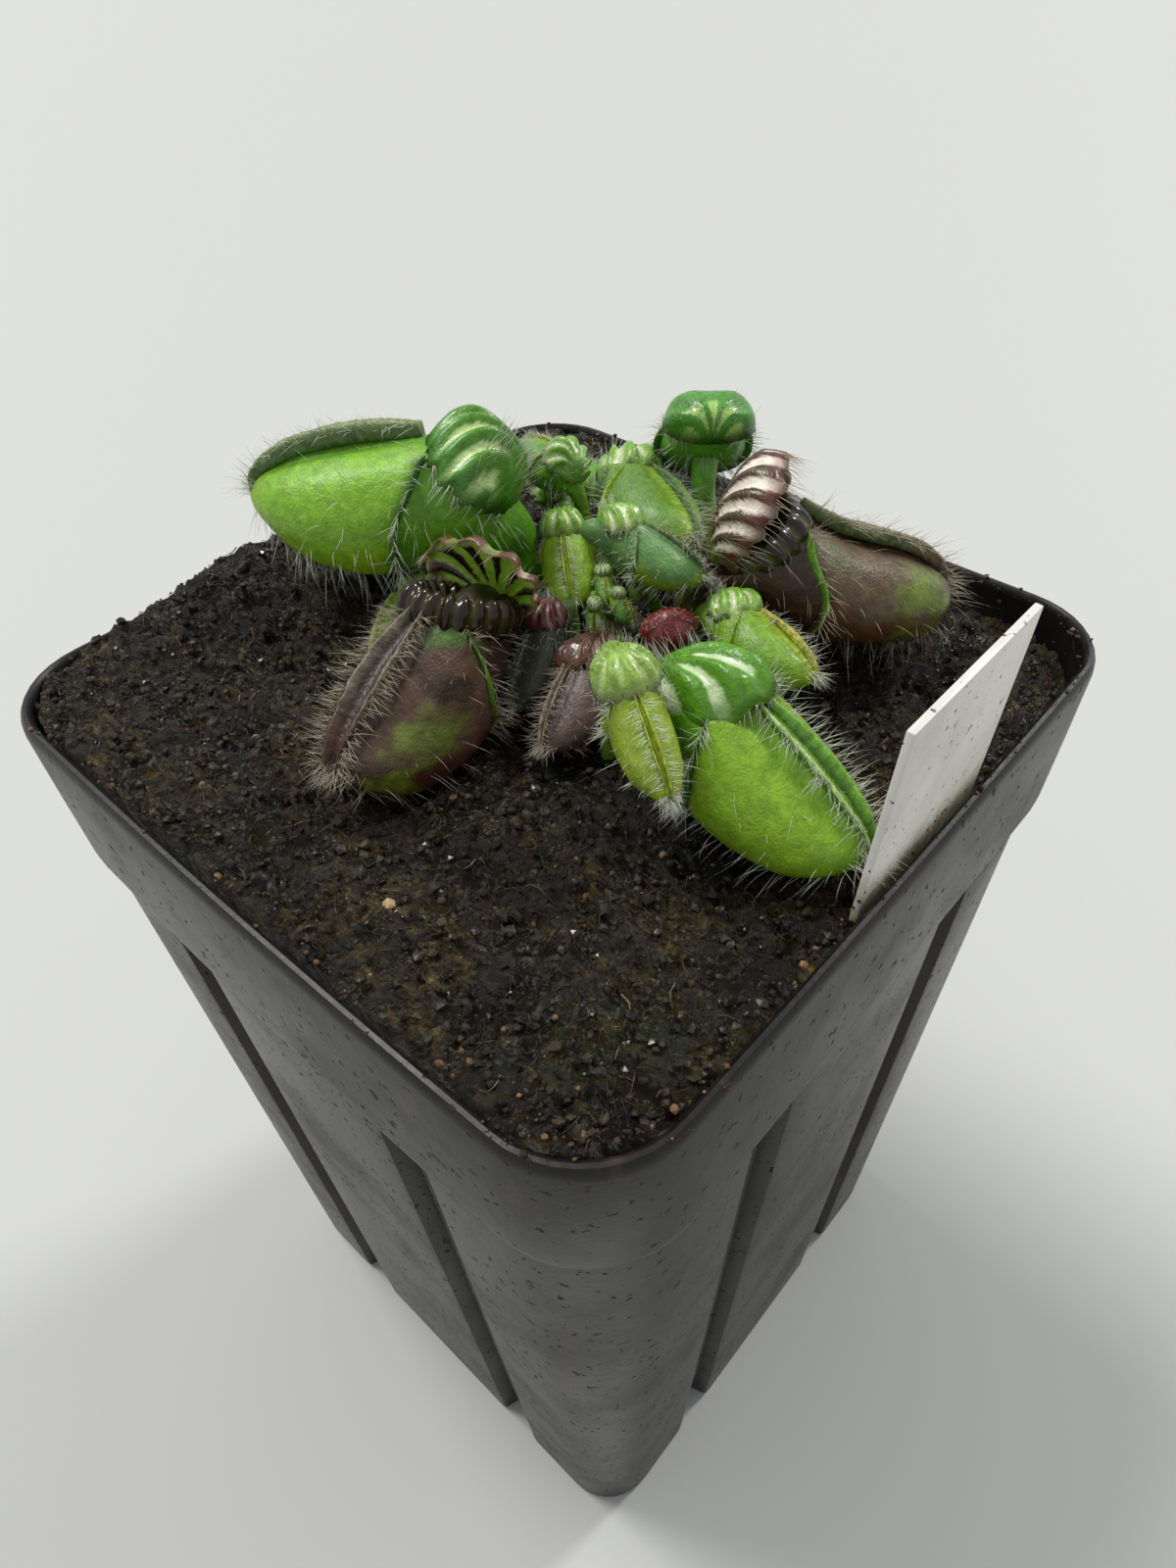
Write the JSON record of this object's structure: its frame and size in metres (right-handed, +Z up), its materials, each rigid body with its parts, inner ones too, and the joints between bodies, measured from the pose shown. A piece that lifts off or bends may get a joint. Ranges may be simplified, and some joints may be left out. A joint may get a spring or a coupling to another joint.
{
  "type": "potted pitcher plant",
  "caption": "Square black plastic nursery pot of peat holding a rosette of hairy moccasin-shaped green and purple-brown pitchers, with a blank white plant label.",
  "frame": {"origin": "middle of the underside of the pot", "axes": "+Z up; X and Y run square to the pot's four faces, and the label stands by the +X face"},
  "size_m": [0.09, 0.09, 0.1521],
  "materials": {
    "pot_plastic": "satin, dusted with peat",
    "green_leaf": "glossy and translucent, with pale windows in the lid",
    "yellow_green_leaf": "satin and translucent",
    "dark_green_leaf": "satin",
    "purple_brown_leaf": "satin, with a very glossy ribbed rim",
    "red_leaf": "glossy",
    "crown_tissue": "matt",
    "label_plastic": "satin, flecked with dirt and algae",
    "peat": "moist and fibrous"
  },
  "bodies": {
    "root": {"pot": "pot_plastic", "pitcher_back_left": "green_leaf", "pitcher_front_left": "purple_brown_leaf", "pitcher_back_right": "purple_brown_leaf", "pitcher_front_right": "green_leaf", "pitcher_back": "green_leaf", "small_pitcher_front": "yellow_green_leaf", "small_pitcher_purple": "purple_brown_leaf", "small_pitcher_dark": "dark_green_leaf", "small_pitcher_red": "red_leaf", "small_pitcher_glaucous": "green_leaf", "small_pitcher_rear_centre": "green_leaf", "small_pitcher_centre": "yellow_green_leaf", "small_pitcher_right": "yellow_green_leaf", "small_pitcher_left": "yellow_green_leaf", "bud_pitcher_back": "yellow_green_leaf", "bud_pitcher_back_left": "yellow_green_leaf", "crown": "crown_tissue", "label": "label_plastic", "soil": "peat"}
  },
  "joints": []
}
